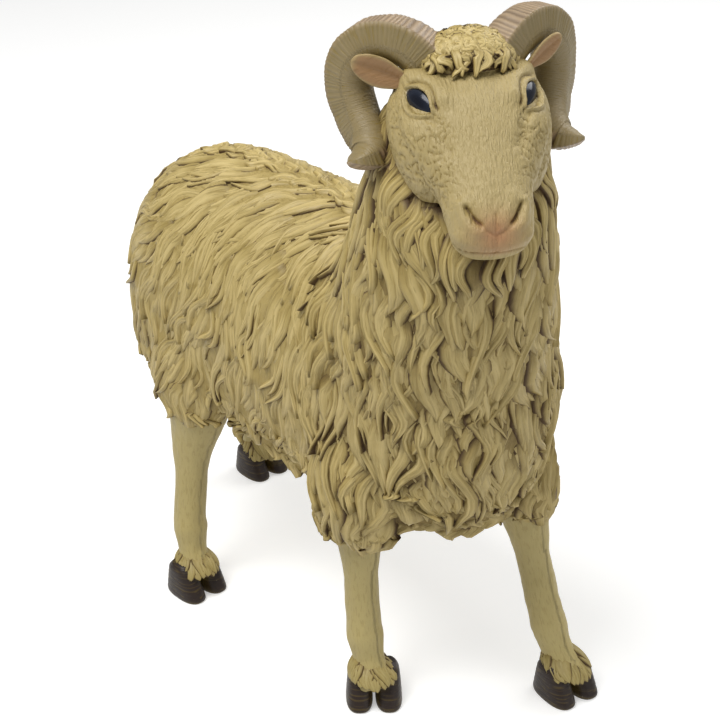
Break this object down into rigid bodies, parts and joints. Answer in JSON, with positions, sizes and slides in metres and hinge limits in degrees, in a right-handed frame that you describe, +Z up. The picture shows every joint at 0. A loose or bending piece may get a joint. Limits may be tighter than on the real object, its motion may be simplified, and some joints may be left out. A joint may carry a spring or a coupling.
{
  "type": "nativity ram figurine",
  "caption": "Standing long-fleeced ram figurine with curled horns and turned head, cast and painted in one piece, for a nativity scene.",
  "frame": {"origin": "centre of the bounding box's bottom face, on the ground under the belly", "axes": "the ram faces -Y, its left side is +X, +Z is up"},
  "size_m": [0.1368, 0.3262, 0.3589],
  "materials": {
    "painted_resin": "hand-painted cream fleece with a dark wash, taupe horns and dark brown hooves, semi-matte"
  },
  "bodies": {
    "root": {"ram_figurine": "painted_resin"}
  },
  "joints": []
}
